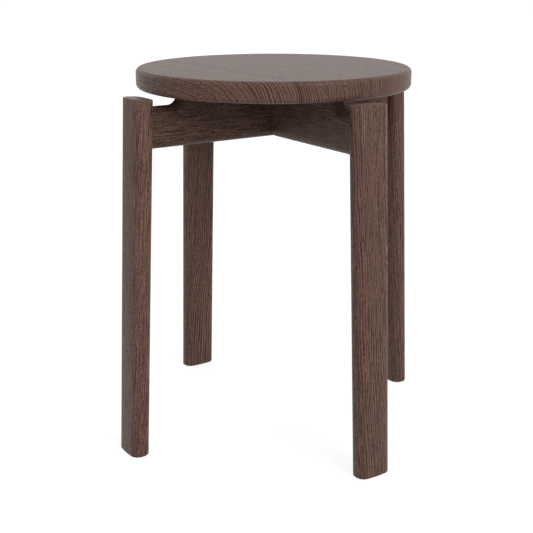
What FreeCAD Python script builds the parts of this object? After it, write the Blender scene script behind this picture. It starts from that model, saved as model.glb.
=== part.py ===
import FreeCAD, Part
import os
import re
import Sketcher

# A low stool with a round seat. Four legs stand just outside the seat and lean out towards the
# floor. Two beams, half-lapped in the middle, carry the seat and butt against the legs' inner faces.
# The origin is on the floor under the middle of the seat, +Z up, one beam along X and one along Y.

# Driving sizes in millimetres, angles in degrees
SIZES = {
    # Seat, glued up from staves that run along Y
    "seat_height": (450, "floor to the top of the seat"),
    "seat_radius": (163.7, "half the seat's width"),
    "seat_thickness": (23.5, "top face to underside"),
    "seat_top_round": (5.2, "round along the seat's top edge"),
    "seat_bottom_round": (5.5, "round along the seat's bottom edge"),
    # Legs, flat inside and outside, rounded along their narrow sides
    "leg_thickness": (24, "inner face to outer face"),
    "leg_width": (44, "across the narrow sides"),
    "leg_edge_round": (11.5, "round along the four long edges"),
    "leg_top_round": (0.6, "eased edge round the leg's top"),
    "foot_round": (0.3, "eased edge round the foot"),
    "leg_splay": (2.9, "lean from upright"),
    "leg_top_drop": (1.2, "leg's outer top edge below the seat's underside"),
    "leg_gap": (5, "seat's rim to the leg's inner face, at the seat's underside"),
    # Cross beams
    "beam_thickness": (22, "side face to side face"),
    "beam_height": (59.5, "underside to the seat"),
    "beam_edge_round": (10, "round along the beam's free edges"),
    "step_depth": (12, "drop of the beam's outer part, and radius of its cove"),
    "step_length": (26.3, "level top of the outer part, from the cove to the leg"),
    "lap_clearance": (0.1, "each side of the half-lap"),
    "least_flat": (0.4, "half the flat left between two rounds on a leg or beam"),
    # Dowels, two in each joint of leg and beam
    "dowel_radius": (4, "half the dowel's width"),
    "dowel_length": (40, "end to end"),
    "dowel_chamfer": (1, "bevel at both ends"),
    "dowel_leg_depth": (15, "length held in the leg"),
    "dowel_spacing": (24, "upper dowel to lower dowel"),
    "dowel_clearance": (0.1, "round the dowel"),
    "dowel_end_gap": (1, "glue space at each end of the dowel"),
    # Seat screws, up through the beams into inserts in the seat
    "screw_inset": (31, "end of the beam's raised part to the screw"),
    "screw_radius": (3, "half the thread's width"),
    "screw_grip": (33.4, "wood under the washer, up to the seat"),
    "thread_hold": (10, "length of the screw in the insert"),
    "screw_play": (0.5, "round the screw in the beam"),
    "head_radius": (5, "half the head's width"),
    "head_height": (6, "thickness of the head"),
    "socket_width": (5, "across the flats of the key socket"),
    "socket_depth": (3, "depth of the key socket"),
    "counterbore_radius": (6, "hole in the beam's underside"),
    "washer_radius": (5.8, "half the washer's width"),
    "washer_thickness": (1.6, "thickness of the washer"),
    "insert_radius": (5, "half the threaded insert's width"),
    "insert_length": (12, "length of the threaded insert"),
    "insert_clearance": (0.1, "round the insert"),
    "insert_end_gap": (2, "free depth above the insert"),
    "thread_clearance": (0.1, "screw to insert"),
    # Glides under the feet
    "glide_radius": (9, "half the glide's width"),
    "glide_stand": (1.2, "thickness under the foot"),
    "pin_radius": (1.5, "half the width of the glide's pin"),
    "pin_length": (14, "length of the pin in the leg"),
    "pin_clearance": (0.1, "round the pin"),
    # One overrun for every cut
    "overrun": (2, "how far a cut passes the surface that it opens"),
}

SHEET_NAMES = {alias: "sizes." + alias for alias in SIZES}

# Glue joints between the seat's staves, as shares of the seat's radius
JOINT_SHARES = (-0.782, -0.244, 0.293, 0.831)

# Where each leg stands, as its angle about the stool's axis
SIDES = {"right": 0, "back": 90, "left": 180, "front": 270}

doc = FreeCAD.newDocument("stool")
sheet = doc.addObject("Spreadsheet::Sheet", "sizes")
for row, (alias, (value, note)) in enumerate(SIZES.items(), start=1):
    sheet.set(f"A{row}", alias)
    sheet.set(f"B{row}", str(value))
    sheet.set(f"C{row}", note)
    sheet.setAlias(f"B{row}", alias)
doc.recompute()


# Heights and reaches that several pieces share, as formulas over the sheet
def of(text):
    """Puts the sheet's name before each size that the text names."""
    return re.sub(r"(?<![\w.])[a-z_]+", lambda word: SHEET_NAMES.get(word[0], word[0]), text)


def number(formula):
    """The formula's value now."""
    value = sheet.evalExpression(formula)
    return float(getattr(value, "Value", value))


UNDERSIDE = of("(seat_height - seat_thickness)")
BEAM_BOTTOM = of(f"({UNDERSIDE} - beam_height)")
BEAM_MIDDLE = of(f"({UNDERSIDE} - beam_height / 2)")
STEP_TOP = of(f"({UNDERSIDE} - step_depth)")
LEG_TOP = of(f"({UNDERSIDE} - leg_top_drop)")
WASHER_TOP = of(f"({UNDERSIDE} - screw_grip)")
HEAD_TOP = of(f"({WASHER_TOP} - washer_thickness)")
JOINT_MIDDLE = f"(({BEAM_BOTTOM} + {STEP_TOP}) / 2)"


def inner_face(height):
    """How far the leg's inner face stands from the axis at a height."""
    return of(f"(seat_radius + leg_gap + ({UNDERSIDE} - {height}) * tan(leg_splay))")


def outer_face(height):
    """How far the leg's outer face stands from the axis at a height."""
    return of(f"({inner_face(height)} + leg_thickness / cos(leg_splay))")


LOWERED_START = of(f"({inner_face(STEP_TOP)} - step_length)")
RAISED_END = of(f"({LOWERED_START} - step_depth)")
SCREW_REACH = of(f"({RAISED_END} - screw_inset)")


# Small tools for sketches, cuts and turned pieces
def new_body(label):
    body = doc.addObject("PartDesign::Body", label)
    body.Label = label
    return body


def new_sketch(body, role, name):
    sketch = body.newObject("Sketcher::SketchObject", name)
    plane = next(item for item in body.Origin.OriginFeatures if item.Role == role)
    sketch.AttachmentSupport = [(plane, "")]
    sketch.MapMode = "FlatFace"
    return sketch


def lock(sketch, element, point, across, up, name):
    """Holds one point of the sketch at two formulas."""
    for kind, formula in (("DistanceX", across), ("DistanceY", up)):
        if formula is None:
            continue
        index = sketch.addConstraint(
            Sketcher.Constraint(kind, -1, 1, element, point, number(formula)))
        sketch.renameConstraint(index, name + kind[-1])
        sketch.setExpression("Constraints." + name + kind[-1], formula)


def draw(sketch, corners, centres=None):
    """Draws a closed outline through corners given as formulas.

    centres holds, for each side that is an arc, the arc's centre and whether it turns left.
    """
    centres = centres or {}
    spots = [FreeCAD.Vector(number(across), number(up), 0) for across, up in corners]
    count = len(corners)
    ends = []
    for side in range(count):
        start = spots[side]
        finish = spots[(side + 1) % count]
        if side not in centres:
            line = sketch.addGeometry(Part.LineSegment(start, finish))
            ends.append((line, 1, 2))
            continue
        across, up, turns_left = centres[side]
        middle = FreeCAD.Vector(number(across), number(up), 0)
        first, last = (start, finish) if turns_left else (finish, start)
        circle = Part.Circle(middle, FreeCAD.Vector(0, 0, 1), (first - middle).Length)
        arc = sketch.addGeometry(Part.ArcOfCircle(circle, circle.parameter(first), circle.parameter(last)))
        ends.append((arc, 1, 2) if turns_left else (arc, 2, 1))
    for side, (element, first, last) in enumerate(ends):
        following, its_first, _ = ends[(side + 1) % count]
        sketch.addConstraint(Sketcher.Constraint("Coincident", element, last, following, its_first))
    for side, (across, up) in enumerate(corners):
        lock(sketch, ends[side][0], ends[side][1], across, up, f"corner{side}")
    for side, (across, up, _) in centres.items():
        lock(sketch, ends[side][0], 3, across, None, f"centre{side}")


def pad_both_ways(body, sketch, width, name):
    pad = body.newObject("PartDesign::Pad", name)
    pad.Profile = sketch
    pad.SideType = "Symmetric"
    pad.setExpression("Length", width)
    sketch.Visibility = False
    doc.recompute()
    return pad


def pocket_both_ways(body, sketch, width, name):
    pocket = body.newObject("PartDesign::Pocket", name)
    pocket.Profile = sketch
    pocket.SideType = "Symmetric"
    pocket.setExpression("Length", width)
    doc.recompute()
    return pocket


def round_edges(body, base, names, radius, name):
    fillet = body.newObject("PartDesign::Fillet", name)
    fillet.Base = (base, names)
    fillet.setExpression("Radius", radius)
    doc.recompute()
    return fillet


def round_end(body, base, place, radius, name):
    """Eases the edges of the face that stands at one place in the order of height."""
    faces = base.Shape.Faces
    order = sorted(range(len(faces)), key=lambda index: faces[index].CenterOfMass.z)
    return round_edges(body, base, [f"Face{order[place] + 1}"], radius, name)


def drill(body, name, radius, length, start, turn):
    """Cuts a round hole from a start point, along the direction that turn gives its axis."""
    hole = body.newObject("PartDesign::SubtractiveCylinder", name)
    hole.setExpression("Radius", radius)
    hole.setExpression("Height", length)
    hole.Placement = FreeCAD.Placement(FreeCAD.Vector(), turn)
    for axis, formula in zip("xyz", start):
        hole.setExpression("Placement.Base." + axis, formula)
    doc.recompute()
    return hole


def turned(label, corners, centres=None):
    """A piece that is round about its own Z axis."""
    body = new_body(label)
    sketch = new_sketch(body, "XZ_Plane", label + "_half")
    draw(sketch, corners, centres)
    axis = next(item for item in body.Origin.OriginFeatures if item.Role == "Z_Axis")
    spin = body.newObject("PartDesign::Revolution", label + "_turned")
    spin.Profile = sketch
    spin.ReferenceAxis = (axis, [""])
    spin.Angle = 360
    doc.recompute()
    return body


def stand(piece, reach, height, side, turn):
    """Places a piece at a reach from the stool's axis, on one of its four sides."""
    piece.Placement = FreeCAD.Placement(FreeCAD.Vector(), turn)
    angle = SIDES[side]
    piece.setExpression("Placement.Base.x", f"({reach}) * cos({angle})")
    piece.setExpression("Placement.Base.y", f"({reach}) * sin({angle})")
    piece.setExpression("Placement.Base.z", height)


UPRIGHT = FreeCAD.Rotation()
ALONG_X = FreeCAD.Rotation(FreeCAD.Vector(0, 1, 0), 90)


def about_axis(angle):
    return FreeCAD.Rotation(FreeCAD.Vector(0, 0, 1), angle)


# Seat
def seat_blank():
    """The whole round seat, drilled for the inserts, before it is divided into staves."""
    top, low = of("seat_height"), UNDERSIDE
    rim = of("seat_radius")
    upper, lower = of("seat_top_round"), of("seat_bottom_round")
    corners = [
        ("0", low),
        (f"{rim} - {lower}", low),
        (rim, f"{low} + {lower}"),
        (rim, f"{top} - {upper}"),
        (f"{rim} - {upper}", top),
        ("0", top),
    ]
    centres = {
        1: (f"{rim} - {lower}", f"{low} + {lower}", True),
        3: (f"{rim} - {upper}", f"{top} - {upper}", True),
    }
    blank = turned("seat_blank", corners, centres)
    for side, angle in SIDES.items():
        drill(
            blank, "insert_hole_" + side,
            of("insert_radius + insert_clearance"),
            of("insert_length + insert_end_gap + overrun"),
            (f"{SCREW_REACH} * cos({angle})", f"{SCREW_REACH} * sin({angle})", of(f"{low} - overrun")),
            UPRIGHT)
    return blank


def seat_staves():
    """Divides the seat along its glue joints."""
    blank = seat_blank()
    edges = [of(f"{share} * seat_radius") for share in JOINT_SHARES]
    edges = [of("0 - seat_radius - overrun")] + edges + [of("seat_radius + overrun")]
    staves = []
    for index in range(len(edges) - 1):
        slab = doc.addObject("Part::Box", f"slab_{index + 1}")
        slab.setExpression("Length", f"({edges[index + 1]}) - ({edges[index]})")
        slab.setExpression("Width", of("2 * (seat_radius + overrun)"))
        slab.setExpression("Height", of("seat_thickness + 2 * overrun"))
        slab.setExpression("Placement.Base.x", edges[index])
        slab.setExpression("Placement.Base.y", of("0 - seat_radius - overrun"))
        slab.setExpression("Placement.Base.z", of(f"{UNDERSIDE} - overrun"))
        stave = doc.addObject("Part::Common", f"seat_stave_{index + 1}")
        stave.Base = blank
        stave.Tool = slab
        staves.append(stave)
    doc.recompute()
    return staves


# Legs
def leg(side):
    body = new_body("leg_" + side)
    foot, top = of("glide_stand"), LEG_TOP
    profile = new_sketch(body, "XZ_Plane", "leg_side_" + side)
    draw(profile, [
        (inner_face(foot), foot),
        (outer_face(foot), foot),
        (outer_face(top), top),
        (of(f"{outer_face(top)} - leg_thickness * cos(leg_splay)"), of(f"{top} - leg_thickness * sin(leg_splay)")),
    ])
    blank = pad_both_ways(body, profile, of("leg_width"), "leg_blank_" + side)
    longest = number(of("leg_width"))
    names = [f"Edge{n}" for n, edge in enumerate(blank.Shape.Edges, start=1) if edge.Length > longest * 2]
    rounded = round_edges(body, blank, names, of("min(leg_edge_round; leg_thickness / 2 - least_flat)"), "leg_sides_" + side)
    eased = round_end(body, rounded, -1, of("leg_top_round"), "leg_top_" + side)
    round_end(body, eased, 0, of("foot_round"), "leg_foot_" + side)
    for level, height in DOWEL_HEIGHTS.items():
        drill(
            body, f"dowel_hole_{level}_{side}",
            of("dowel_radius + dowel_clearance"),
            of("dowel_leg_depth + dowel_end_gap + overrun"),
            (of(f"{inner_face(height)} - overrun"), "0", height),
            ALONG_X)
    drill(
        body, "pin_hole_" + side,
        of("pin_radius + pin_clearance"),
        of("pin_length + pin_clearance + overrun"),
        (FOOT_MIDDLE, "0", of(f"{foot} - overrun")),
        UPRIGHT)
    body.Placement = FreeCAD.Placement(FreeCAD.Vector(), about_axis(SIDES[side]))
    return body


# Cross beams
def beam(label, angle, notch_low, notch_high):
    """A beam across the stool, with its half of the lap cut between two heights."""
    body = new_body(label)
    profile = new_sketch(body, "XZ_Plane", label + "_side")
    half = [
        (inner_face(BEAM_BOTTOM), BEAM_BOTTOM),
        (inner_face(STEP_TOP), STEP_TOP),
        (LOWERED_START, STEP_TOP),
        (RAISED_END, UNDERSIDE),
    ]
    other_half = [(f"0 - {across}", up) for across, up in reversed(half)]
    draw(profile, half + other_half, {
        2: (LOWERED_START, UNDERSIDE, False),
        4: (f"0 - {LOWERED_START}", UNDERSIDE, False),
    })
    blank = pad_both_ways(body, profile, of("beam_thickness"), label + "_blank")
    free_heights = (number(BEAM_BOTTOM), number(STEP_TOP))
    names = []
    for n, edge in enumerate(blank.Shape.Edges, start=1):
        first, last = edge.Vertexes[0].Point, edge.Vertexes[-1].Point
        on_side = abs(first.y - last.y) < edge.Length / 2
        level = any(abs(first.z - z) + abs(last.z - z) < edge.Length / 100 for z in free_heights)
        if on_side and (level or isinstance(edge.Curve, Part.Circle)):
            names.append(f"Edge{n}")
    round_edges(body, blank, names, of("min(beam_edge_round; beam_thickness / 2 - least_flat)"), label + "_rounded")
    lap = of("(beam_thickness / 2 + lap_clearance)")
    notch = new_sketch(body, "XZ_Plane", label + "_lap")
    draw(notch, [
        (f"0 - {lap}", notch_low),
        (lap, notch_low),
        (lap, notch_high),
        (f"0 - {lap}", notch_high),
    ])
    pocket_both_ways(body, notch, of("beam_thickness + 2 * overrun"), label + "_notch")
    for end, sign in (("outward", 1), ("inward", -1)):
        drill(
            body, f"{label}_counterbore_{end}",
            of("counterbore_radius"),
            of(f"{WASHER_TOP} - {BEAM_BOTTOM} + overrun"),
            (f"{sign} * {SCREW_REACH}", "0", of(f"{BEAM_BOTTOM} - overrun")),
            UPRIGHT)
        drill(
            body, f"{label}_screw_hole_{end}",
            of("screw_radius + screw_play"),
            of("beam_height + 2 * overrun"),
            (f"{sign} * {SCREW_REACH}", "0", of(f"{BEAM_BOTTOM} - overrun")),
            UPRIGHT)
        for level, height in DOWEL_HEIGHTS.items():
            depth = of("(dowel_length - dowel_leg_depth + dowel_end_gap)")
            face = inner_face(height)
            start = f"{face} - {depth}" if sign > 0 else of(f"0 - {face} - overrun")
            drill(
                body, f"{label}_dowel_hole_{level}_{end}",
                of("dowel_radius + dowel_clearance"),
                of(f"{depth} + overrun"),
                (start, "0", height),
                ALONG_X)
    body.Placement = FreeCAD.Placement(FreeCAD.Vector(), about_axis(angle))
    return body


# Dowels
DOWEL_HEIGHTS = {
    "lower": of(f"({JOINT_MIDDLE} - dowel_spacing / 2)"),
    "upper": of(f"({JOINT_MIDDLE} + dowel_spacing / 2)"),
}


def dowel(level, side):
    radius = of("dowel_radius")
    bevel = of("dowel_chamfer")
    end = of("dowel_length / 2")
    piece = turned(f"dowel_{level}_{side}", [
        ("0", f"0 - {end}"),
        (f"{radius} - {bevel}", f"0 - {end}"),
        (radius, f"{bevel} - {end}"),
        (radius, f"{end} - {bevel}"),
        (f"{radius} - {bevel}", end),
        ("0", end),
    ])
    height = DOWEL_HEIGHTS[level]
    reach = of(f"{inner_face(height)} + dowel_leg_depth - dowel_length / 2")
    stand(piece, reach, height, side, about_axis(SIDES[side]).multiply(ALONG_X))
    return piece


# Seat screws, washers and threaded inserts
def seat_screw(side):
    """Drawn about the underside of its head, with the thread upwards."""
    shank, head = of("screw_radius"), of("head_radius")
    tip = of("washer_thickness + screw_grip + thread_hold")
    piece = turned("seat_screw_" + side, [
        ("0", of("0 - head_height")),
        (head, of("0 - head_height")),
        (head, "0"),
        (shank, "0"),
        (shank, tip),
        ("0", tip),
    ])
    socket = new_sketch(piece, "XY_Plane", "socket_" + side)
    socket.setExpression("AttachmentOffset.Base.z", of("0 - head_height"))
    corner = of("socket_width / sqrt(3)")
    draw(socket, [(f"{corner} * cos({60 * k})", f"{corner} * sin({60 * k})") for k in range(6)])
    pocket = piece.newObject("PartDesign::Pocket", "socket_cut_" + side)
    pocket.Profile = socket
    pocket.Reversed = True
    pocket.setExpression("Length", of("socket_depth"))
    stand(piece, SCREW_REACH, HEAD_TOP, side, UPRIGHT)
    return piece


def ring(label, inner, outer, thickness):
    return turned(label, [(inner, "0"), (outer, "0"), (outer, thickness), (inner, thickness)])


def washer(side):
    piece = ring("washer_" + side, of("screw_radius + screw_play"), of("washer_radius"), of("washer_thickness"))
    stand(piece, SCREW_REACH, HEAD_TOP, side, UPRIGHT)
    return piece


def insert(side):
    bore = of("screw_radius + thread_clearance")
    piece = ring("threaded_insert_" + side, bore, of("insert_radius"), of("insert_length"))
    stand(piece, SCREW_REACH, UNDERSIDE, side, UPRIGHT)
    return piece


# Glides
FOOT_MIDDLE = of(f"({outer_face('glide_stand')} - leg_thickness / cos(leg_splay) / 2)")


def foot_glide(side):
    stem, disc = of("pin_radius"), of("glide_radius")
    piece = turned("foot_glide_" + side, [
        ("0", "0"),
        (disc, "0"),
        (disc, of("glide_stand")),
        (stem, of("glide_stand")),
        (stem, of("glide_stand + pin_length")),
        ("0", of("glide_stand + pin_length")),
    ])
    stand(piece, FOOT_MIDDLE, "0", side, UPRIGHT)
    return piece


# The whole stool
pieces = seat_staves()
pieces.append(beam("cross_beam_lower", 0, BEAM_MIDDLE, of(f"{UNDERSIDE} + overrun")))
pieces.append(beam("cross_beam_upper", 90, of(f"{BEAM_BOTTOM} - overrun"), BEAM_MIDDLE))
for place in SIDES:
    pieces.append(leg(place))
    pieces.append(dowel("lower", place))
    pieces.append(dowel("upper", place))
    pieces.append(seat_screw(place))
    pieces.append(washer(place))
    pieces.append(insert(place))
    pieces.append(foot_glide(place))
doc.recompute()

for item in doc.Objects:
    if "Invalid" in item.State or "Error" in item.State:
        raise RuntimeError(f"{item.Label} failed: {item.State}")
os.makedirs("parts", exist_ok=True)
for piece in pieces:
    shape = piece.Shape
    if shape.isNull() or not shape.isValid() or len(shape.Solids) != 1:
        raise RuntimeError(f"{piece.Label} is not one sound solid")
    shape.exportStep(f"parts/{piece.Label}.step")
    box = shape.optimalBoundingBox()
    print(f"{piece.Label}: {shape.Volume:.0f} mm3, z {box.ZMin:.2f} to {box.ZMax:.2f}, reach {box.XMax:.2f}")
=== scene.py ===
# %% [markdown]
# # A round oak stool, dressed in Blender
#
# The stool was built first as a CAD model: a glued round seat, two beams that cross
# under it in a halved joint, and four splayed legs that are dowelled to the ends of
# the beams. This script loads that model as a fixed frame and leaves its meshes as
# they are. It sets the camera and the light, and gives the seat's staves and the beams
# a dark stained oak. The legs, dowels, screws, washers, inserts and glides are made
# again, with the detail that the CAD solids leave out.

# %% Load the frame
import math

import bmesh
import bpy
from mathutils import Matrix, Vector


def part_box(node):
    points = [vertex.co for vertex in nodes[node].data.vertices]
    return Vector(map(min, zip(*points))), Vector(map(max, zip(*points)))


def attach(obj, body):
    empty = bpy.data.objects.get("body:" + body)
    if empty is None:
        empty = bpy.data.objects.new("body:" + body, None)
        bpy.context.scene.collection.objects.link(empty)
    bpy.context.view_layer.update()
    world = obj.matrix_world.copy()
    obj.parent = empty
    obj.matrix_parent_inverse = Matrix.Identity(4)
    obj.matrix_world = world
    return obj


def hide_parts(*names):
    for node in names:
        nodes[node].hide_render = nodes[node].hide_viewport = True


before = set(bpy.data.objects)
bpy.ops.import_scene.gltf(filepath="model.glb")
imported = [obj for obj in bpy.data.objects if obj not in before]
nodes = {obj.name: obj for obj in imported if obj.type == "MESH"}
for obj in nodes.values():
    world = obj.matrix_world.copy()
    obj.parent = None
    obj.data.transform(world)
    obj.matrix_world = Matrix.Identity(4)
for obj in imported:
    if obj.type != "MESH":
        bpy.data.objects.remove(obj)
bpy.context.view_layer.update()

print("CAD nodes loaded:", len(nodes))

# %% [markdown]
# ## Camera
#
# A stool is pictured with a long lens from a little above its seat, which keeps the
# legs nearly parallel. A camera can be placed by eye, but then every proportion is a
# little off. Here the lens, the distance and the two angles were worked out from where
# the edge of the seat and the feet lie in the picture. The camera stands to the front
# left, so two legs are near and two are far. The small shift only centres the stool.

# %% Camera
IMAGE_SIZE = 533
SENSOR_WIDTH = 36.0
FOCAL_PIXELS = 1019.449
CAMERA_DISTANCE = 1.2320
CAMERA_HEIGHT = 0.57594
CAMERA_TURN = math.radians(33.745)
DEGREES_DOWN = 16.344
IMAGE_CENTRE = (273.577, 254.884)

camera_data = bpy.data.cameras.new("photo_camera")
camera_data.sensor_width = SENSOR_WIDTH
camera_data.lens = SENSOR_WIDTH * FOCAL_PIXELS / IMAGE_SIZE
camera_data.shift_x = (IMAGE_SIZE / 2 - IMAGE_CENTRE[0]) / IMAGE_SIZE
camera_data.shift_y = (IMAGE_CENTRE[1] - IMAGE_SIZE / 2) / IMAGE_SIZE
camera = bpy.data.objects.new("photo_camera", camera_data)
camera.location = (
    -CAMERA_DISTANCE * math.sin(CAMERA_TURN),
    -CAMERA_DISTANCE * math.cos(CAMERA_TURN),
    CAMERA_HEIGHT,
)
camera.rotation_euler = (math.radians(90 - DEGREES_DOWN), 0, -CAMERA_TURN)
bpy.context.scene.collection.objects.link(camera)
bpy.context.scene.camera = camera
bpy.context.scene.view_settings.view_transform = "Standard"
print("camera lens in mm:", round(camera_data.lens, 2))

# %% [markdown]
# ## Writing materials as sums
#
# A node tree can be clicked together or added node by node, but maths reads better as
# maths. A Wire is one output socket. Adding, taking away, multiplying or dividing it
# adds the Math node for that step, and the reflected forms let a number come first,
# as in 1 - mask. Any other node comes from the method node of a Finish, which is one
# material or world under way.

# %% Wire
class Wire:
    """An output socket that sums can be written with."""

    def __init__(self, socket):
        self.socket = socket

    def maths(self, operation, first, second=0.0):
        """Adds one Math node and gives the Wire of what it works out."""
        node = self.socket.id_data.nodes.new("ShaderNodeMath")
        node.operation = operation
        join(node.inputs[0], first)
        join(node.inputs[1], second)
        return Wire(node.outputs[0])

    def __add__(self, other):
        return self.maths("ADD", self, other)

    def __radd__(self, other):
        return self.maths("ADD", other, self)

    def __sub__(self, other):
        return self.maths("SUBTRACT", self, other)

    def __rsub__(self, other):
        return self.maths("SUBTRACT", other, self)

    def __mul__(self, other):
        return self.maths("MULTIPLY", self, other)

    def __rmul__(self, other):
        return self.maths("MULTIPLY", other, self)

    def __truediv__(self, other):
        return self.maths("DIVIDE", self, other)

    def __rtruediv__(self, other):
        return self.maths("DIVIDE", other, self)

    def __abs__(self):
        return self.maths("ABSOLUTE", self)

    def fraction(self):
        return self.maths("FRACT", self)

    def at_least(self, least):
        return self.maths("MAXIMUM", self, least)


def join(socket, value):
    """Links a Wire to an input socket, or writes a plain value into it."""
    if isinstance(value, Wire):
        socket.id_data.links.new(value.socket, socket)
    else:
        socket.default_value = value

# %% Finish
class Finish:
    """A material or world whose nodes are added one at a time."""

    def __init__(self, owner):
        self.owner = owner
        owner.use_nodes = True
        self.tree = owner.node_tree
        self.tree.nodes.clear()

    def node(self, kind, settings=None, sockets=None, output=0):
        """Adds a node, with its settings first, and gives the Wire of one output."""
        made = self.tree.nodes.new("ShaderNode" + kind)
        for name, value in (settings or {}).items():
            if name == "stops":
                set_stops(made.color_ramp, value)
            else:
                setattr(made, name, value)
        for name, value in (sockets or {}).items():
            join(made.inputs[name], value)
        return Wire(made.outputs[output]) if len(made.outputs) else None


def set_stops(ramp, stops):
    """Gives a ramp its stops, each a place and a colour."""
    while len(ramp.elements) < len(stops):
        ramp.elements.new(1.0)
    for element, (place, colour) in zip(ramp.elements, stops):
        element.position = place
        element.color = (*colour, 1.0)

# %% [markdown]
# ## Room
#
# A product picture is often taken in a white room. A picture of such a room could be
# wrapped round the scene, but this script reads no images, and an even white does too.
# Light Path tells what kind of ray asks. A ray that looks at the room directly sees
# full white, and scattered light gets the room at a plain level.

# %% Room
WHITE = (1.0, 1.0, 1.0, 1.0)
ROOM_LIGHT = 0.65


def seen_directly(finish, reflected=1.0):
    """1 for rays from the camera, reflected for mirrored rays, 0 for scattered light."""
    camera_ray = finish.node("LightPath", output="Is Camera Ray")
    glossy_ray = finish.node("LightPath", output="Is Glossy Ray")
    passed_ray = finish.node("LightPath", output="Is Transmission Ray")
    return camera_ray + glossy_ray * reflected + passed_ray


world = bpy.data.worlds.new("white_room")
bpy.context.scene.world = world
room = Finish(world)
room_strength = ROOM_LIGHT + seen_directly(room) * (1 - ROOM_LIGHT)
room_shader = room.node("Background", None, {"Color": WHITE, "Strength": room_strength})
room.node("OutputWorld", None, {"Surface": room_shader})
print("room light:", ROOM_LIGHT)

# %% [markdown]
# ## Floor
#
# The floor is pale card. A white card would throw much light up, and the beams under
# the seat would lose their shade. So the card has two shaders. The camera sees a glow
# with a little grey under it, which together are white, and the grey takes the stool's
# soft shadow. Mirrored rays see most of that. Scattered light meets a plain grey card.

# %% Floor
FLOOR_HALF_WIDTH = 20.0
FLOOR_BOUNCE = 0.58
FLOOR_GLOW = 0.81
FLOOR_SHADE = 0.30
FLOOR_MIRRORED = 0.75

floor_mesh = bpy.data.meshes.new("floor")
floor_shape = bmesh.new()
bmesh.ops.create_grid(floor_shape, x_segments=1, y_segments=1, size=FLOOR_HALF_WIDTH)
floor_shape.to_mesh(floor_mesh)
floor_shape.free()
floor = bpy.data.objects.new("floor", floor_mesh)
bpy.context.scene.collection.objects.link(floor)

card = Finish(bpy.data.materials.new("pale_card"))
bounce_colour = (FLOOR_BOUNCE, FLOOR_BOUNCE, FLOOR_BOUNCE, 1)
shade_colour = (FLOOR_SHADE, FLOOR_SHADE, FLOOR_SHADE, 1)
thrown_back = card.node("BsdfDiffuse", None, {"Color": bounce_colour})
shaded = card.node("BsdfDiffuse", None, {"Color": shade_colour})
glow = card.node("Emission", None, {"Color": WHITE, "Strength": FLOOR_GLOW})
seen = card.node("AddShader", None, {0: shaded, 1: glow})
floor_sockets = {0: seen_directly(card, FLOOR_MIRRORED), 1: thrown_back, 2: seen}
card_shader = card.node("MixShader", None, floor_sockets)
card.node("OutputMaterial", None, {"Surface": card_shader})
floor_mesh.materials.append(card.owner)
print("floor width in m:", 2 * FLOOR_HALF_WIDTH)

# %% [markdown]
# ## Lamps
#
# The stool was lit by large soft boxes. Point lamps or a sun would draw hard shadows,
# so area lamps stand for them: a large one high in front, a weak one above the seat,
# and a weak one on the left, which keeps the left sides of the legs from going dark.

# %% Lamps
LAMP_TARGET = Vector((0, 0, 0.25))


def soft_box(name, place, size, power):
    """A large square lamp that faces the stool. Its size is in m, its power in W."""
    data = bpy.data.lights.new(name, "AREA")
    data.shape = "SQUARE"
    data.size = size
    data.energy = power
    lamp = bpy.data.objects.new(name, data)
    lamp.location = place
    towards = LAMP_TARGET - Vector(place)
    lamp.rotation_euler = towards.to_track_quat("-Z", "Y").to_euler()
    bpy.context.scene.collection.objects.link(lamp)
    print(name, "stands off by", round(towards.length, 2), "m")


soft_box("front_soft_box", place=(0.81, -8.46, 4.75), size=5.9, power=492.0)
soft_box("top_soft_box", place=(0.3, 0.3, 2.4), size=1.6, power=4.0)
soft_box("left_soft_box", place=(-6.3, 1.2, 1.35), size=3.3, power=27.5)

# %% [markdown]
# ## Dark stained oak
#
# Oak is ring porous: each year starts with a band of wide pores, and a dark stain sinks
# into them and draws the growth rings. Grain could be laid on each board as a flat
# pattern, but that looks wrong wherever a board is cut across. So the wood is solid
# here. Each board says where the middle of its tree was, and the distance from there
# gives the rings. They show as arches on a flat face, as straight lines on a side and
# as arcs on an end, and they all meet at the edges.
#
# Two helpers come first. Noise that is drawn out along the grain makes streaks, and a
# ramp makes spots with soft edges out of noise. Places are in mm from here on.

# %% Streaks and ramps
TO_MM = (1000.0, 1000.0, 1000.0)


def stretched(finish, place, across, along, detail, roughness, output=0):
    """Noise whose grains are that many mm across and along the grain."""
    scale = (1 / across, 1 / across, 1 / along)
    point = finish.node("VectorMath", {"operation": "MULTIPLY"}, {0: place, 1: scale})
    sockets = {"Vector": point, "Scale": 1.0, "Detail": detail, "Roughness": roughness}
    return finish.node("TexNoise", None, sockets, output)


def ramp(finish, value, stops):
    """A number drawn from a number by a ramp's grey stops."""
    greys = [(place, (level, level, level)) for place, level in stops]
    return finish.node("ValToRGB", {"stops": greys}, {"Fac": value})

# %% [markdown]
# ### Grain that sways
#
# No tree is quite straight, so its grain sways. Two noises push the points of a board
# sideways before the distance from the tree's middle is taken: a slow bend that all
# boards share, and a quick one that is weak in a straight board and strong in a wavy
# one, whose lines then run together in places.

# %% Bends
SLOW_BEND = (70.0, 330.0, 20.0)
STRAIGHT = (14.0, 90.0, 1.6)
WAVY = (9.0, 45.0, 3.8)
NO_PUSH = (0.5, 0.5, 0.5)


def swayed(wood, board, own_place, wave):
    """Pushes points sideways. A bend is its mm across, its mm along and mm of sway."""
    bent = board
    for across, along, sway in (SLOW_BEND, wave):
        noise = stretched(wood, own_place, across, along, 2.0, 0.5, "Color")
        push = wood.node("VectorMath", {"operation": "SUBTRACT"}, {0: noise, 1: NO_PUSH})
        sockets = {0: push, 1: (sway, sway, 0.0), 2: bent}
        bent = wood.node("VectorMath", {"operation": "MULTIPLY_ADD"}, sockets)
    return bent

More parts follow.
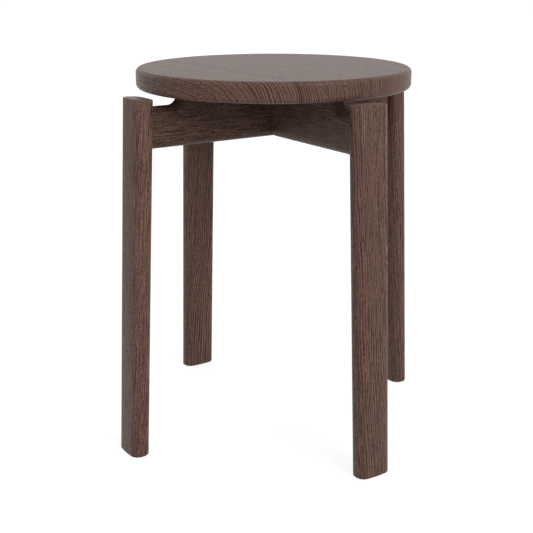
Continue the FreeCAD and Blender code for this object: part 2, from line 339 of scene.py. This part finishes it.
# %% [markdown]
# ### Growth rings
#
# The distance from the tree's middle over the width of a ring is the age of the wood.
# The fraction of that age says how far a year has come, and a ramp marks the porous
# early wood with it. Noise along the age makes years uneven and groups of years
# lighter or darker. Noise along the distance adds the fine lines inside a year. Both
# are noise in one dimension, so they follow each ring all round.

# %% Growth rings
EARLY_WOOD = [(0.0, 0.5), (0.12, 1.0), (0.40, 0.4), (0.66, 0.1), (0.9, 0.0), (1.0, 0.5)]
UNEVEN_RATE = 0.31
UNEVEN_YEARS = 1.4
GROUP_RATE = 0.13
GROUP_STRENGTH = 0.22


def tree_distance(wood, bent, board, taper):
    """The distance from the tree's middle in mm, with the tree narrower higher up."""
    flat = wood.node("VectorMath", {"operation": "MULTIPLY"}, {0: bent, 1: (1.0, 1.0, 0.0)})
    distance = wood.node("VectorMath", {"operation": "LENGTH"}, {0: flat}, "Value")
    height = wood.node("SeparateXYZ", None, {0: board}, "Z")
    return distance + height * taper


def ring_noise(wood, place):
    """Noise in one dimension, which is the same all round a ring."""
    sockets = {"W": place, "Scale": 1.0, "Detail": 1.0}
    return wood.node("TexNoise", {"noise_dimensions": "1D"}, sockets)


def growth_rings(wood, radius, seed, ring_width, years, figure, spacing):
    """What the rings add to the shade, and a mask of the early wood."""
    age = radius / ring_width
    age = age + ring_noise(wood, age * UNEVEN_RATE + seed) * UNEVEN_YEARS
    early = ramp(wood, age.fraction(), EARLY_WOOD)
    groups = ring_noise(wood, age * GROUP_RATE + seed * 3.1)
    lines = ring_noise(wood, radius / spacing + seed * 7.7)
    rings = (groups - 0.5) * GROUP_STRENGTH - early * years + (lines - 0.5) * figure
    return rings, early


def with_dark_years(shade, radius, dark_years):
    """Darkens single rings, each given as its radius, half its width and a depth."""
    for middle, half_width, depth in dark_years:
        away = (radius - middle) / half_width
        shade = shade - (1 - abs(away)).at_least(0.0) * depth
    return shade

# %% [markdown]
# ### The whole board
#
# The last step adds up a shade from 0, dark, to 1, light, and a ramp of three browns
# colours it. Streaks and short open pores lie along the grain, and the pores are dark
# and a little rough. Wherever a face looks up, the seat's top gets painted shade: its
# shade is drawn darker and even, for how light falls on the top, and a little rougher.

# %% Oak
OAK_BROWNS = [
    (0.0, (0.030, 0.0150, 0.0105)), (0.5, (0.098, 0.0530, 0.0388)), (1.0, (0.190, 0.1090, 0.0830)),
]
LONG_STREAK = (0.85, 30.0)
SHORT_STREAK = (0.75, 3.6)
OPEN_PORES = [(0.50, 0.0), (0.66, 1.0)]
LONG_STRENGTH = 1.5
SHORT_STRENGTH = 1.3
PORE_STRENGTH = 0.20
MIDDLE_SHADE = 0.54
YEARS_EVENED = 0.36  # what the early wood takes from the mean shade
OAK_ROUGHNESS = 0.38
PORE_ROUGHNESS = 0.10
LOOKS_UP = [(0.80, 0.0), (0.99, 1.0)]
# Painted shade: the level that upward faces of the seat's top are drawn towards
PAINTED_TOP_LEVEL = 0.30
TOP_ROUGHNESS_ADDED = 0.06
DULL_SHEEN = (0.06, 0.25)


def fibres_and_pores(wood, place, grain):
    """What the streaks add to the shade, and a mask of the pores."""
    long_streaks = stretched(wood, place, *LONG_STREAK, 1.0, 0.5)
    short_streaks = stretched(wood, place, *SHORT_STREAK, 1.0, 0.5)
    pores = ramp(wood, short_streaks, OPEN_PORES)
    streaks = (long_streaks - 0.5) * (LONG_STRENGTH * grain)
    return streaks - (short_streaks - 0.5) * (SHORT_STRENGTH * grain), pores


def looking_up(wood):
    """1 where a face looks straight up, 0 where it is steep."""
    normal = wood.node("TexCoord", output="Normal")
    return ramp(wood, wood.node("SeparateXYZ", None, {0: normal}, "Z"), LOOKS_UP)


def oak(name, turn, pith, seed, taper, ring_width, years, figure, spacing, grain, tone=1.0,
        tint_and_painted_sheen=(1.0, 1.0, 1.0), dark_years=(), wave=STRAIGHT, painted_top_shade=0.0, sheen=DULL_SHEEN):
    """One board. turn lays its grain along z, then pith moves its tree's middle to 0."""
    wood = Finish(bpy.data.materials.new(name))
    place = wood.node("TexCoord", output="Object")
    mapping = {"Vector": place, "Scale": TO_MM, "Rotation": turn, "Location": pith}
    board = wood.node("Mapping", None, mapping)
    shift = (seed * 37.0, seed * 91.0, seed * 211.0)
    own_place = wood.node("VectorMath", {"operation": "ADD"}, {0: board, 1: shift})
    bent = swayed(wood, board, own_place, wave)
    radius = tree_distance(wood, bent, board, taper)
    rings, early = growth_rings(wood, radius, seed, ring_width, years, figure, spacing)
    own_bent = wood.node("VectorMath", {"operation": "ADD"}, {0: bent, 1: shift})
    fibres, pores = fibres_and_pores(wood, own_bent, grain)
    shade = rings + fibres - pores * early * (PORE_STRENGTH * grain)
    shade = with_dark_years(shade + MIDDLE_SHADE + YEARS_EVENED * years, radius, dark_years)
    roughness = OAK_ROUGHNESS + pores * PORE_ROUGHNESS
    # Painted shade: faces that look up are drawn darker and even, for how light falls on the top
    if painted_top_shade:
        painted_top = looking_up(wood) * painted_top_shade
        shade = shade * (1 - painted_top) + painted_top * PAINTED_TOP_LEVEL
        roughness = roughness + painted_top * TOP_ROUGHNESS_ADDED
    stained = wood.node("ValToRGB", {"stops": OAK_BROWNS}, {"Fac": shade})
    # The tint can carry a painted sheen, as it does on the upper beam
    tone_tint_and_sheen = [tone * part for part in tint_and_painted_sheen]
    toned = wood.node("VectorMath", {"operation": "MULTIPLY"}, {0: stained, 1: tone_tint_and_sheen})
    bump = wood.node("Bump", None, {"Strength": 0.25, "Distance": 0.0001, "Height": 1 - pores})
    shader = wood.node("BsdfPrincipled", None, {
        "Base Color": toned, "Roughness": roughness, "Normal": bump, "IOR": 1.45,
        "Specular IOR Level": 0.16, "Sheen Weight": sheen[0], "Sheen Roughness": sheen[1],
    })
    wood.node("OutputMaterial", None, {"Surface": shader})
    return wood.owner

# %% [markdown]
# ## Seat staves
#
# The seat is glued up from five staves, and the pattern changes at each glue joint,
# because each stave was sawn from another place in a tree. One oak for the whole disc
# would run on through the joints, so each stave gets its own. What tells them apart:
#
# - pith: where the tree's middle is, in mm to the right of the seat's middle and above it
# - tone: how light the board is
# - ring_width: mm from year to year, and years: how dark the early wood is
# - spacing: mm from one fine line to the next, and figure: how strong they are
# - grain: how strong streaks and pores are
# - dark_years: single dark rings
# - seed: which part of the noise the board is cut from
#
# The taper says how fast the tree narrows, which draws the rings out into long arches.

# %% Seat staves
QUARTER = math.pi / 2
ALONG_X = (0.0, -QUARTER, 0.0)
ALONG_Y = (QUARTER, 0.0, 0.0)
SEAT_MIDDLE = 438.25
SEAT_TAPER = 0.01
# How strongly the seat's top is darkened and evened as painted shade
SEAT_PAINTED_TOP_SHADE = 0.3


def dress(node_name, material):
    """Gives a CAD node a material of its own."""
    for place in nodes[node_name].material_slots:
        place.link = "OBJECT"
        place.material = material


def pith_at(right, above):
    """What moves a tree's middle to 0, from where it is beside the seat's middle."""
    return (-right, SEAT_MIDDLE + above, 0.0)


STAVES = {
    "seat_stave_1": dict(pith=pith_at(-175.0, -35.0), seed=1, tone=1.03, ring_width=2.7,
                         years=0.33, figure=1.10, spacing=1.2, grain=1.00),
    "seat_stave_2": dict(pith=pith_at(-204.0, -54.0), seed=2, tone=1.00, ring_width=2.4,
                         years=0.70, figure=3.00, spacing=0.70, grain=0.85,
                         dark_years=((145.0, 3.4, 0.45), (152.0, 1.3, 0.5),
                                     (109.0, 1.2, 0.4), (163.0, 1.2, 0.4))),
    "seat_stave_3": dict(pith=pith_at(-62.0, -6.0), seed=3, tone=1.00, ring_width=2.7,
                         years=0.35, figure=2.00, spacing=1.3, grain=1.05,
                         dark_years=((81.0, 1.4, 0.4),)),
    "seat_stave_4": dict(pith=pith_at(230.0, -60.0), seed=4, tone=0.97, ring_width=2.7,
                         years=0.31, figure=1.20, spacing=1.4, grain=0.95),
    "seat_stave_5": dict(pith=pith_at(95.0, -32.0), seed=5, tone=1.00, ring_width=2.7,
                         years=0.33, figure=1.05, spacing=1.2, grain=1.05),
}
for name, board in STAVES.items():
    dress(name, oak(name + "_oak", ALONG_Y, taper=SEAT_TAPER, painted_top_shade=SEAT_PAINTED_TOP_SHADE, **board))
print("staves dressed:", len(STAVES))

# %% [markdown]
# ## Beams
#
# Each beam is one board on edge, so its side shows nearly straight lines. They could
# share one oak, turned from one beam to the other, but the lower beam is redder and
# darker. So each gets its own tint and its own place in a tree. The upper beam's tint is
# greyer and bluer, which is a painted sheen on its side.

# %% Beams
BEAMS = {
    "cross_beam_lower": dict(name="lower_beam_oak", turn=ALONG_X, pith=(360.0, 0.0, 0.0), seed=7,
                             taper=0.03, tint_and_painted_sheen=(0.79, 0.77, 0.76), figure=1.4, grain=1.5),
    # Painted sheen: this grey-blue tint stands in for the light that this beam's side catches
    "cross_beam_upper": dict(name="upper_beam_oak", turn=ALONG_Y, pith=(30.0, 470.0, 0.0), seed=8,
                             taper=-0.03, tint_and_painted_sheen=(0.87, 0.92, 1.0), figure=1.2, grain=1.1),
}
for name, board in BEAMS.items():
    dress(name, oak(ring_width=2.6, years=0.2, spacing=0.7, **board))
print("beams dressed:", len(BEAMS))

# %% [markdown]
# ## Making a piece
#
# The pieces below are modelled with bmesh, the mesh kit behind Blender's edit mode.
# Each is shaped once for the right-hand side, where the leg stands out along x, and
# then turned about the stool's middle to its own side. An object could be turned
# instead of its mesh, but then the grain would turn with it, and the CAD nodes, too,
# have their place in the mesh. So the turn goes into the mesh and the object stays at
# the origin. Extrude and spin add their parts in another order on each run, so the
# parts are sorted by place, and every run gives the same mesh.

# %% Helpers for pieces
MM = 0.001
SIDES = {"right": 0, "back": 90, "left": 180, "front": 270}
SHARP_ANGLE = math.radians(35)


def sort_parts(parts, key):
    rank = {part: place for place, part in enumerate(sorted(parts, key=key))}
    parts.sort(key=lambda part: rank[part])
    parts.index_update()


def put_in_order(shape):
    """Sorts the corners by place, and the edges and faces by their corners."""
    sort_parts(shape.verts, lambda corner: corner.co[:])
    sort_parts(shape.edges, lambda edge: sorted(corner.index for corner in edge.verts))
    sort_parts(shape.faces, lambda face: sorted(corner.index for corner in face.verts))


def new_piece(shape, name, material, node_name, side):
    """Turns a shape to its side and makes it stand for a CAD node."""
    turn = Matrix.Rotation(math.radians(SIDES[side]), 3, "Z")
    bmesh.ops.rotate(shape, verts=shape.verts, cent=(0, 0, 0), matrix=turn)
    bmesh.ops.recalc_face_normals(shape, faces=shape.faces)
    put_in_order(shape)
    for face in shape.faces:
        face.smooth = True
    for edge in shape.edges:
        edge.smooth = edge.calc_face_angle(0) < SHARP_ANGLE
    mesh = bpy.data.meshes.new(name)
    shape.to_mesh(mesh)
    shape.free()
    mesh.materials.append(material)
    piece = bpy.data.objects.new(name, mesh)
    bpy.context.scene.collection.objects.link(piece)
    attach(piece, "root")
    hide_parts(node_name)
    dress(node_name, material)
    return piece


def open_edges(shape):
    return [edge for edge in shape.edges if edge.is_boundary]


def loose_edges(shape):
    return [edge for edge in shape.edges if edge.is_wire]


def new_corners(made):
    """The corners among the things that an extrusion made."""
    return [item for item in made["geom"] if isinstance(item, bmesh.types.BMVert)]

# %% [markdown]
# ## Legs
#
# Each leg is a slat of oak with rounded narrow sides. Its broad faces are not quite
# flat: the plane leaves them a little crowned, which softens the change from face to
# side. The leg leans out by a few degrees. It is cut square at the top and level at
# the foot. A box with a Bevel modifier would have flat faces and a square foot. So a
# flat outline is crowned and its corners rounded, and it is drawn down along the lean.
# Each corner of the foot slides along the lean to one level just over the floor, which
# leaves room for the glide's thickness, and then the edges of both ends are broken.

# %% Leg outline
LEG_THICKNESS = 24.0
LEG_WIDTH = 44.0
LEG_CROWN = 140.0
LEG_CORNER = 9.5
CORNER_STEPS = 14
CROWN_CUTS = 5
CROWN_MARGIN = 1.5


def leg_outline():
    """The leg's section, lying level, with the outward face towards +x."""
    shape = bmesh.new()
    bmesh.ops.create_grid(shape, x_segments=1, y_segments=1, size=0.5)
    size = (LEG_THICKNESS * MM, LEG_WIDTH * MM, 1)
    bmesh.ops.scale(shape, vec=size, verts=shape.verts)
    broad = [edge for edge in shape.edges if edge.calc_length() > LEG_THICKNESS * MM * 1.5]
    bmesh.ops.subdivide_edges(shape, edges=broad, cuts=CROWN_CUTS)
    # The outermost cut lies at a third of the width. It moves in to the end of the
    # crown, and from there the face runs on straight to the rounded corner.
    crown_end = LEG_WIDTH / 2 - LEG_CORNER - CROWN_MARGIN
    outer = []
    for corner in shape.verts:
        if abs(corner.co.y) > LEG_WIDTH * MM * 0.49:
            outer.append(corner)
            drop = crown_end * (LEG_WIDTH - crown_end) / (2 * LEG_CROWN)
        else:
            corner.co.y *= crown_end / (LEG_WIDTH / 3)
            drop = (corner.co.y / MM) ** 2 / (2 * LEG_CROWN)
        corner.co.x -= math.copysign(drop * MM, corner.co.x)
    bmesh.ops.bevel(
        shape, geom=outer, offset=LEG_CORNER * MM, offset_type="OFFSET",
        segments=CORNER_STEPS, profile=0.5, affect="VERTICES", material=-1,
    )
    bmesh.ops.dissolve_faces(shape, faces=shape.faces[:], use_verts=False)
    return shape

# %% Leg shape
SPLAY = math.radians(2.9)
LEG_TOP = (192.78, 425.27)
FOOT_LEVEL = 1.2
END_ROUND = 0.9
END_STEPS = 3


def leg_shape():
    """Draws the outline down along the lean, and breaks the edges of both ends."""
    shape = leg_outline()
    lean = Matrix.Rotation(-SPLAY, 3, "Y")
    bmesh.ops.rotate(shape, verts=shape.verts, cent=(0, 0, 0), matrix=lean)
    top = Vector((LEG_TOP[0], 0, LEG_TOP[1])) - lean @ Vector((LEG_THICKNESS / 2, 0, 0))
    bmesh.ops.translate(shape, verts=shape.verts, vec=top * MM)
    drawn = bmesh.ops.extrude_face_region(shape, geom=shape.faces[:], use_keep_orig=True)
    along = lean @ Vector((0, 0, 1))
    for corner in new_corners(drawn):
        corner.co -= along * ((corner.co.z - FOOT_LEVEL * MM) / along.z)
    bmesh.ops.recalc_face_normals(shape, faces=shape.faces)
    put_in_order(shape)
    ends = [face for face in shape.faces if len(face.verts) > 4]
    rims = [edge for end in ends for edge in end.edges]
    bmesh.ops.bevel(
        shape, geom=rims, offset=END_ROUND * MM, offset_type="OFFSET",
        segments=END_STEPS, profile=0.5, affect="EDGES", material=-1,
    )
    return shape

# %% [markdown]
# The legs' oak has the same columns as the staves'. The near and the far leg and the
# right one were sawn flat, so their lines are wavy and strong, and the left leg's are
# straight. The sheen is what the raised nap of the wood adds where a rounded side
# turns away.

# %% Legs
LEGS = {
    "right": dict(turn=(0.0, SPLAY, 0.0), pith=(-250.0, 60.0, 0.0), seed=9, tone=0.985,
                  figure=2.4, spacing=0.90, wave=WAVY),
    "back": dict(turn=(-SPLAY, 0.0, 0.0), pith=(55.0, -255.0, 0.0), seed=10, tone=1.03,
                 figure=2.5, spacing=0.90, wave=WAVY),
    "left": dict(turn=(0.0, -SPLAY, 0.0), pith=(250.0, -55.0, 0.0), seed=11, tone=1.05,
                 figure=1.2, spacing=0.75, wave=STRAIGHT),
    "front": dict(turn=(SPLAY, 0.0, 0.0), pith=(-50.0, 250.0, 0.0), seed=12, tone=1.00,
                  figure=3.1, spacing=0.78, wave=WAVY),
}
LEG_OAK = dict(taper=-0.035, ring_width=2.3, years=0.16, grain=1.0, sheen=(0.15, 0.14))
for side, board in LEGS.items():
    material = oak(side + "_leg_oak", **board, **LEG_OAK)
    leg = new_piece(leg_shape(), "oak_leg_" + side, material, "leg_" + side, side)
print("leg faces:", len(leg.data.polygons))

# %% [markdown]
# ## Turned parts
#
# Dowels, screws, washers, inserts and glides are all turned. Cylinders and cones could
# be stacked and joined, but an outline that is spun about an axis gives every chamfer
# at once, and a spin in one full circle welds its own seam. Grooves are made by
# drawing in every second corner of the spun surface. A thread is a small ridge that
# climbs as it is spun and is closed at its two ends.

# %% Lathe
def lathe(points, steps, closed=False):
    """Spins an outline of (radius, height) points in mm about the z axis."""
    shape = bmesh.new()
    corners = [shape.verts.new((radius * MM, 0, height * MM)) for radius, height in points]
    for first, second in zip(corners, corners[1:]):
        shape.edges.new((first, second))
    if closed:
        shape.edges.new((corners[-1], corners[0]))
    bmesh.ops.spin(
        shape, geom=shape.verts[:] + shape.edges[:], cent=(0, 0, 0), axis=(0, 0, 1),
        angle=2 * math.pi, steps=steps, use_merge=True,
    )
    bmesh.ops.remove_doubles(shape, verts=shape.verts, dist=MM / 1000)
    return shape


def stand(shape, place, turn=None):
    """Moves a shape from the origin to its place, after laying it over if asked."""
    if turn:
        bmesh.ops.rotate(shape, verts=shape.verts, cent=(0, 0, 0), matrix=turn)
    bmesh.ops.translate(shape, verts=shape.verts, vec=place)
    return shape


def middle_of(node_name):
    low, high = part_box(node_name)
    return (low + high) / 2

# %% Grooves and threads
NEAR_RADIUS = 0.01
RIDGE_ROOT = 0.2
RIDGE_STEPS = 24
RIDGE_RISES = (0.0, 0.42, 0.5, 0.92)  # of its four corners, as shares of the pitch


def groove(shape, radius, depth, steps):
    """Draws in every second corner that lies as far out as radius."""
    for corner in shape.verts:
        out = math.hypot(corner.co.x, corner.co.y) / MM
        step = round(math.atan2(corner.co.y, corner.co.x) / (2 * math.pi) * steps)
        if out > radius - NEAR_RADIUS and step % 2:
            corner.co.x *= (radius - depth) / radius
            corner.co.y *= (radius - depth) / radius


def thread(shape, core, crest, start, pitch, turns):
    """Adds a ridge that climbs from start, by pitch for each turn."""
    root = core - RIDGE_ROOT
    section = zip((root, crest, crest, root), RIDGE_RISES)
    corners = [
        shape.verts.new((radius * MM, 0, (start + pitch * rise) * MM)) for radius, rise in section
    ]
    edges = [shape.edges.new(pair) for pair in zip(corners, corners[1:] + corners[:1])]
    bmesh.ops.spin(
        shape, geom=corners + edges, cent=(0, 0, 0), axis=(0, 0, 1),
        dvec=(0, 0, pitch * MM / RIDGE_STEPS), angle=2 * math.pi * turns,
        steps=RIDGE_STEPS * turns,
    )
    bmesh.ops.holes_fill(shape, edges=open_edges(shape), sides=4)

# %% [markdown]
# ## Beech
#
# Dowel beech is pale and even, with short darker flecks. It could be made as the oak
# is, but growth rings hardly show in wood this plain. So long streaks set the colour,
# and short spots darken it and make it rougher.

# %% Beech
BEECH_BROWNS = [(0.0, (0.33, 0.20, 0.10)), (0.5, (0.55, 0.38, 0.22)), (1.0, (0.66, 0.49, 0.31))]


def beech(name, turn):
    """Beech whose grain runs along z once it is turned by turn."""
    wood = Finish(bpy.data.materials.new(name))
    place = wood.node("TexCoord", output="Object")
    board = wood.node("Mapping", None, {"Vector": place, "Scale": TO_MM, "Rotation": turn})
    streaks = stretched(wood, board, 1.1, 22.0, 2.0, 0.5)
    flecks = ramp(wood, stretched(wood, board, 0.35, 1.8, 1.0, 0.5), [(0.56, 0.0), (0.68, 1.0)])
    shade = streaks * 0.8 + 0.1 - flecks * 0.25
    colour = wood.node("ValToRGB", {"stops": BEECH_BROWNS}, {"Fac": shade})
    bump = wood.node("Bump", None, {"Strength": 0.3, "Distance": 0.0001, "Height": streaks})
    roughness = 0.55 + flecks * 0.12
    sockets = {"Base Color": colour, "Roughness": roughness, "Normal": bump}
    wood.node("OutputMaterial", None, {"Surface": wood.node("BsdfPrincipled", None, sockets)})
    return wood.owner


beech_x = beech("beech_along_x", ALONG_X)
beech_y = beech("beech_along_y", ALONG_Y)
print("beech finishes:", beech_x.name, "and", beech_y.name)

# %% [markdown]
# ## Zinc and brass
#
# The screws and washers are zinc plated, a bluish bright metal with a faint spangle.
# The inserts are free-cutting brass. One colour and one roughness would look like
# plastic, so both drift between two colours, and fine turning marks change the gloss.

# %% Zinc and brass
def plated(name, dull, bright, spangle, mark):
    """A metal with patches of spangle mm and turning marks that are mark mm apart."""
    metal = Finish(bpy.data.materials.new(name))
    place = metal.node("TexCoord", output="Object")
    place = metal.node("Mapping", None, {"Vector": place, "Scale": TO_MM})
    sockets = {"Vector": place, "Scale": 1 / spangle, "Detail": 3.0, "Roughness": 0.6}
    patches = metal.node("TexNoise", None, sockets)
    marks = stretched(metal, place, 6.0, mark, 1.0, 0.5)
    colour = metal.node("ValToRGB", {"stops": [(0.3, dull), (0.7, bright)]}, {"Fac": patches})
    roughness = 0.28 + patches * 0.22 + (marks - 0.5) * 0.12
    bump = metal.node("Bump", None, {"Strength": 0.2, "Distance": 0.00005, "Height": marks})
    shader = metal.node("BsdfPrincipled", None, {
        "Base Color": colour, "Roughness": roughness, "Normal": bump, "Metallic": 1.0,
    })
    metal.node("OutputMaterial", None, {"Surface": shader})
    return metal.owner


zinc = plated("zinc_plate", (0.50, 0.52, 0.55), (0.68, 0.69, 0.71), spangle=1.6, mark=0.25)
brass = plated("turned_brass", (0.58, 0.41, 0.17), (0.78, 0.59, 0.29), spangle=2.4, mark=0.30)
print("metal finishes:", zinc.name, "and", brass.name)

# %% [markdown]
# ## Nylon
#
# The glides are moulded in matt black nylon, with a faint grain from the mould and
# dull scuffs where they have slid over a floor. The scuffs could be a second material,
# but a mask that mixes two colours needs no extra faces. Mix blends the colours,
# because a Math node would turn them grey.

# %% Nylon
MIX_COLOURS = {"factor": 0, "first": 6, "second": 7, "result": 2}


def moulded(name, colour, worn):
    """A moulded plastic whose scuffs have the colour worn."""
    plastic = Finish(bpy.data.materials.new(name))
    place = plastic.node("TexCoord", output="Object")
    place = plastic.node("Mapping", None, {"Vector": place, "Scale": TO_MM})
    grain = plastic.node("TexNoise", None, {"Vector": place, "Scale": 2.2, "Detail": 2.0})
    scuffs = ramp(plastic, stretched(plastic, place, 0.4, 5.0, 3.0, 0.6), [(0.52, 0.0), (0.72, 1.0)])
    sockets = {
        MIX_COLOURS["factor"]: scuffs,
        MIX_COLOURS["first"]: (*colour, 1),
        MIX_COLOURS["second"]: (*worn, 1),
    }
    mixed = plastic.node("Mix", {"data_type": "RGBA"}, sockets, MIX_COLOURS["result"])
    bump = plastic.node("Bump", None, {"Strength": 0.15, "Distance": 0.0001, "Height": grain})
    roughness = 0.50 + scuffs * 0.15
    sockets = {"Base Color": mixed, "Roughness": roughness, "Normal": bump}
    surface = plastic.node("BsdfPrincipled", None, sockets)
    plastic.node("OutputMaterial", None, {"Surface": surface})
    return plastic.owner


nylon = moulded("black_nylon", (0.018, 0.018, 0.019), (0.060, 0.060, 0.062))
print("plastic finish:", nylon.name)

# %% [markdown]
# ## Dowels
#
# Two beech dowels join each leg to its beam. Real ones are fluted along their length,
# so that glue and air can leave the hole, and chamfered so that they start easily. A
# pattern could fake the flutes, but the mesh is a result in its own right, so they are
# cut: the dowel is spun standing, grooved, and laid over along x.

# %% Dowels
FLUTES = 20
FLUTE_DEPTH = 0.3
DOWEL_RADIUS = 4.0
DOWEL_OUTLINE = [(0, -20), (3, -20), (4, -19), (4, 19), (3, 20), (0, 20)]
LAID_OVER = Matrix.Rotation(math.radians(90), 3, "Y")
for side in SIDES:
    for level in ("lower", "upper"):
        shape = lathe(DOWEL_OUTLINE, 2 * FLUTES)
        groove(shape, DOWEL_RADIUS, FLUTE_DEPTH, 2 * FLUTES)
        stand(shape, middle_of("dowel_" + level + "_right"), LAID_OVER)
        material = beech_x if side in ("right", "left") else beech_y
        name = "fluted_dowel_" + level + "_" + side
        dowel = new_piece(shape, name, material, "dowel_" + level + "_" + side, side)
print("dowel faces:", len(dowel.data.polygons))

# %% [markdown]
# ## Seat screws
#
# A socket head screw goes up through each beam into the seat. The head is knurled
# round its side and has a hexagon socket in the end that faces the floor. The socket
# could be cut with a Boolean modifier, which leaves long thin faces. Instead, the
# outline is spun with that end left open. A hexagon with as many edges as the hole is
# bridged to it, drawn up into the head, and closed at its bottom.

# %% Seat screws
KNURLS = 36
KNURL_DEPTH = 0.14
HEAD_RADIUS = 5.0
HEAD_BOTTOM = 385.5
SCREW_OUTLINE = [
    (3.3, 0.0), (4.4, 0.0), (4.85, 0.2), (5.0, 0.6), (5.0, 5.6), (4.7, 6.0), (3.3, 6.0),
    (3.0, 6.4), (3.0, 39.6), (2.6, 40.2), (2.6, 50.4), (2.1, 51.0), (0.0, 51.0),
]
SCREW_THREAD = dict(core=2.6, crest=2.98, start=40.0, pitch=1.0, turns=10)
SOCKET_CORNER = 5.0 / math.sqrt(3)
SOCKET_DEPTH = 3.0


def seat_screw_shape():
    """The screw, standing on its head at the origin."""
    shape = lathe(SCREW_OUTLINE, 2 * KNURLS)
    groove(shape, HEAD_RADIUS, KNURL_DEPTH, 2 * KNURLS)
    mouth = open_edges(shape)
    bmesh.ops.create_circle(shape, segments=6, radius=SOCKET_CORNER * MM)
    bmesh.ops.subdivide_edges(shape, edges=loose_edges(shape), cuts=KNURLS // 3 - 1)
    bmesh.ops.bridge_loops(shape, edges=mouth + loose_edges(shape))
    drawn = bmesh.ops.extrude_edge_only(shape, edges=open_edges(shape))
    bmesh.ops.translate(shape, verts=new_corners(drawn), vec=(0, 0, SOCKET_DEPTH * MM))
    bmesh.ops.contextual_create(shape, geom=open_edges(shape))
    thread(shape, **SCREW_THREAD)
    return shape


for side in SIDES:
    place = middle_of("seat_screw_right")
    place.z = HEAD_BOTTOM * MM
    shape = stand(seat_screw_shape(), place)
    name = "socket_screw_" + side
    screw = new_piece(shape, name, zinc, "seat_screw_" + side, side)
print("screw faces:", len(screw.data.polygons))

# %% [markdown]
# ## Washers and threaded inserts
#
# Each head bears on a plain washer with broken edges. The screw's thread runs in a
# brass insert, whose own coarse thread holds it in the seat. A disc with a hole cut in
# it would need its edges broken one by one. Both are closed rings, so here the outline
# is a closed loop with the broken edges in it, and the insert gets its thread on top.

# %% Washers and inserts
RING_STEPS = 64
WASHER_OUTLINE = [
    (3.5, -0.6), (3.7, -0.8), (5.5, -0.8), (5.8, -0.55), (5.8, 0.55), (5.5, 0.8), (3.7, 0.8),
    (3.5, 0.6),
]
INSERT_OUTLINE = [
    (3.1, -5.6), (3.5, -6.0), (4.3, -6.0), (4.4, -5.8), (4.4, 5.6), (4.1, 6.0), (3.4, 6.0),
    (3.1, 5.7),
]
INSERT_THREAD = dict(core=4.4, crest=4.98, start=-5.5, pitch=2.2, turns=4)
for side in SIDES:
    shape = stand(lathe(WASHER_OUTLINE, RING_STEPS, closed=True), middle_of("washer_right"))
    washer = new_piece(shape, "bevelled_washer_" + side, zinc, "washer_" + side, side)
    shape = lathe(INSERT_OUTLINE, RING_STEPS, closed=True)
    thread(shape, **INSERT_THREAD)
    stand(shape, middle_of("threaded_insert_right"))
    name = "coarse_insert_" + side
    insert = new_piece(shape, name, brass, "threaded_insert_" + side, side)
print("washer faces:", len(washer.data.polygons))
print("insert faces:", len(insert.data.polygons))

# %% [markdown]
# ## Foot glides
#
# A glide keeps end grain off the floor. Its disc is a little domed and its barbed pin
# is pressed into the foot, so the stool stands on four low black domes. A flattened
# sphere would give the dome alone. Spinning one outline gives dome, rim and pin in one
# closed shape, and a loop adds the barbs to the outline.

# %% Foot glides
GLIDE_STEPS = 48
PIN_RADIUS = 1.5
BARB_ROOT = 1.15
GLIDE_OUTLINE = [
    (0, 0), (5.5, 0.0), (7.6, 0.12), (8.5, 0.38), (8.9, 0.75), (9.0, 1.2), (PIN_RADIUS, 1.2),
]
for height in (3.2, 5.6, 8.0, 10.4, 12.8):
    GLIDE_OUTLINE += [(PIN_RADIUS, height), (BARB_ROOT, height + 0.15)]
GLIDE_OUTLINE += [(BARB_ROOT, 13.9), (0.4, 15.2), (0, 15.2)]
for side in SIDES:
    place = middle_of("foot_glide_right")
    place.z = 0
    shape = stand(lathe(GLIDE_OUTLINE, GLIDE_STEPS), place)
    glide = new_piece(shape, "domed_glide_" + side, nylon, "foot_glide_" + side, side)
print("glide faces:", len(glide.data.polygons))
